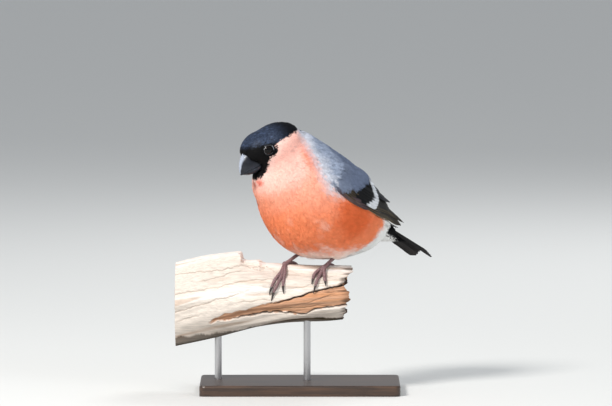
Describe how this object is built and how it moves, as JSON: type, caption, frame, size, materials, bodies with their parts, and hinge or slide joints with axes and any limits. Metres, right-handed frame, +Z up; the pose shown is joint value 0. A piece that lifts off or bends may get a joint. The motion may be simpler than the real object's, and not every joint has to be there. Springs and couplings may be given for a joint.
{
  "type": "bullfinch display model",
  "caption": "Still, life-size model of a male bullfinch gripping a short cut length of weathered branch, held over a flat base by short rods.",
  "frame": {"origin": "centre of the underside of the stand's base", "axes": "+Z up; +X along the branch towards its broken end; the bird looks along -X and turns its breast towards -Y"},
  "size_m": [0.1455, 0.0924, 0.1523],
  "materials": {
    "cap_feathers": "glossy blue-black feathers of the cap, face and bib",
    "mantle_feathers": "soft ash-grey feathers",
    "breast_feathers": "soft salmon-red feathers, white under the tail",
    "flight_feathers": "blue-black flight feathers with a faint gloss",
    "leg_scales": "dry scaly skin, pinkish brown",
    "eye": "wet, almost black brown",
    "bill": "satin blue-grey horn",
    "perch_wood": "bleached, cracked wood without bark",
    "stand_base": "dark stained, satin",
    "stand_rods": "brushed"
  },
  "bodies": {
    "root": {"head": "cap_feathers", "neck": "mantle_feathers", "torso": "breast_feathers", "tail": "flight_feathers", "wing_left": "flight_feathers", "wing_right": "flight_feathers", "leg_left": "leg_scales", "leg_right": "leg_scales", "eye_left": "eye", "eye_right": "eye", "bill_upper": "bill", "bill_lower": "bill", "perch": "perch_wood", "stand_base": "stand_base", "stand_rod_left": "stand_rods", "stand_rod_right": "stand_rods"}
  },
  "joints": []
}
